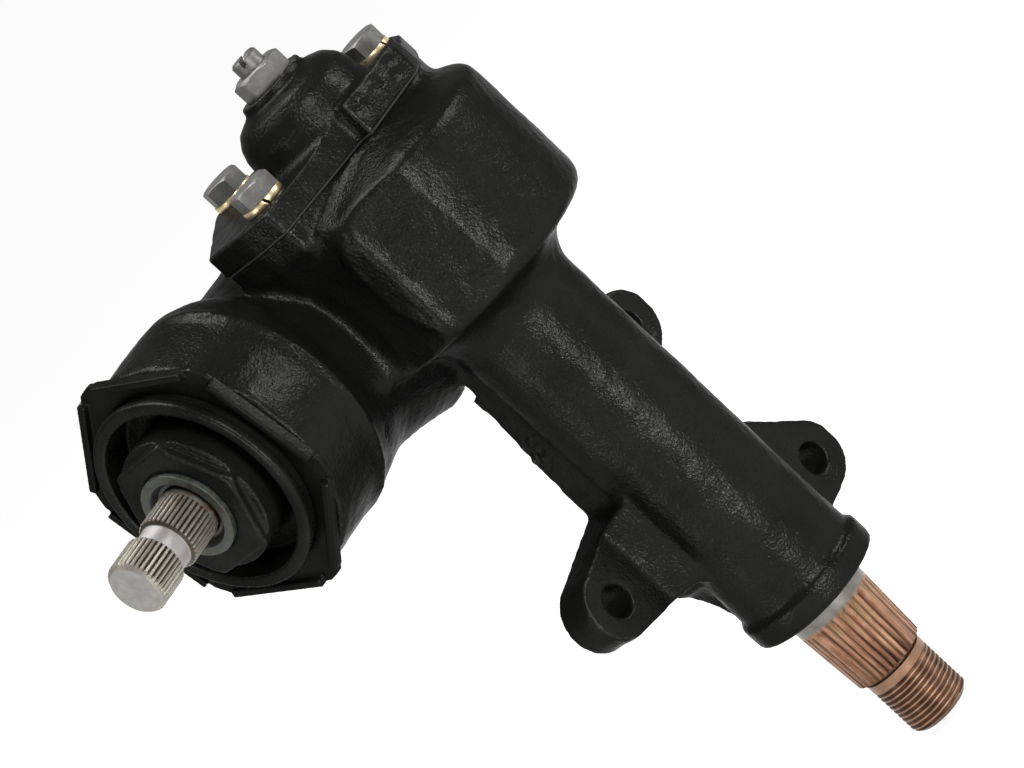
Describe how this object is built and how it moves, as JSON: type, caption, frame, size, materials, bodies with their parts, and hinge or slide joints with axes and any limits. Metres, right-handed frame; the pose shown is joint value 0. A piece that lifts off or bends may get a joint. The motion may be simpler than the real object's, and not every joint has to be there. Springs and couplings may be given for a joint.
{
  "type": "steering gearbox",
  "caption": "Manual recirculating-ball steering gearbox: cast housing, serrated input worm, ball nut, toothed sector shaft and bolted side cover with lash adjuster.",
  "frame": {"origin": "on the sector shaft's axis, at the shoulder where the output thread starts", "axes": "+Z along the sector shaft towards the side cover, +X along the worm towards the input spline, -Y towards the frame"},
  "size_m": [0.2033, 0.1338, 0.2944],
  "materials": {
    "black_paint": "semi-gloss black paint over cast iron",
    "gasket": "thin pressed fibre gasket",
    "zinc_steel": "grey plated steel",
    "yellow_zinc": "yellow plated spring steel",
    "bright_steel": "machined steel",
    "dark_steel": "hardened steel",
    "coated_shaft": "copper-tinted steel",
    "bearing_bronze": "bronze bushing",
    "cage_brass": "pressed brass cage",
    "seal_rubber": "black seal rubber",
    "seal_case": "seal with a metal case"
  },
  "bodies": {
    "case": {"housing": "black_paint", "side_cover": "black_paint", "cover_gasket": "gasket", "cover_bolts": "zinc_steel", "cover_lock_washers": "yellow_zinc", "lash_adjuster_screw": "zinc_steel", "lash_locknut": "zinc_steel", "lash_shim": "bright_steel", "cover_bushing": "bearing_bronze", "tube_bushing_upper": "bearing_bronze", "tube_bushing_lower": "bearing_bronze", "sector_seal": "seal_rubber", "upper_bearing_cup": "bright_steel", "lower_bearing_cup": "bright_steel", "bearing_adjuster": "black_paint", "adjuster_lock_ring": "black_paint", "worm_seal": "seal_case"},
    "sector": {"sector_shaft": "coated_shaft"},
    "worm": {"worm_shaft": "bright_steel"},
    "nut": {"ball_nut": "dark_steel", "ball_circuit_front": "bright_steel", "ball_circuit_rear": "bright_steel", "ball_guide_front": "zinc_steel", "ball_guide_rear": "zinc_steel", "guide_clamp": "zinc_steel", "clamp_screws": "dark_steel"},
    "upper_bearing": {"upper_bearing_balls": "bright_steel", "upper_bearing_cage": "cage_brass"},
    "lower_bearing": {"lower_bearing_balls": "bright_steel", "lower_bearing_cage": "cage_brass"}
  },
  "joints": [
    {"name": "sector_turn", "type": "hinge", "parent": "case", "child": "sector", "pos_m": [0, 0, 0.1], "axis": [0, 0, 1], "range_deg": [-42, 42]},
    {"name": "worm_turn", "type": "hinge", "parent": "case", "child": "worm", "pos_m": [0, -0.045, 0.197], "axis": [1, 0, 0], "range_deg": [-841, 841]},
    {"name": "nut_slide", "type": "slide", "parent": "case", "child": "nut", "axis": [1, 0, 0], "range_m": [-0.0191, 0.0191]},
    {"name": "upper_bearing_roll", "type": "hinge", "parent": "case", "child": "upper_bearing", "pos_m": [0, -0.045, 0.197], "axis": [1, 0, 0], "range_deg": [-342.46, 342.46]},
    {"name": "lower_bearing_roll", "type": "hinge", "parent": "case", "child": "lower_bearing", "pos_m": [0, -0.045, 0.197], "axis": [1, 0, 0], "range_deg": [-342.46, 342.46]}
  ],
  "couplings": [
    {"joint": "worm_turn", "follows": "sector_turn", "ratio": -20},
    {"joint": "nut_slide", "follows": "sector_turn", "m_per_rad": 0.026},
    {"joint": "upper_bearing_roll", "follows": "sector_turn", "ratio": -8.1301},
    {"joint": "lower_bearing_roll", "follows": "sector_turn", "ratio": -8.1301}
  ]
}
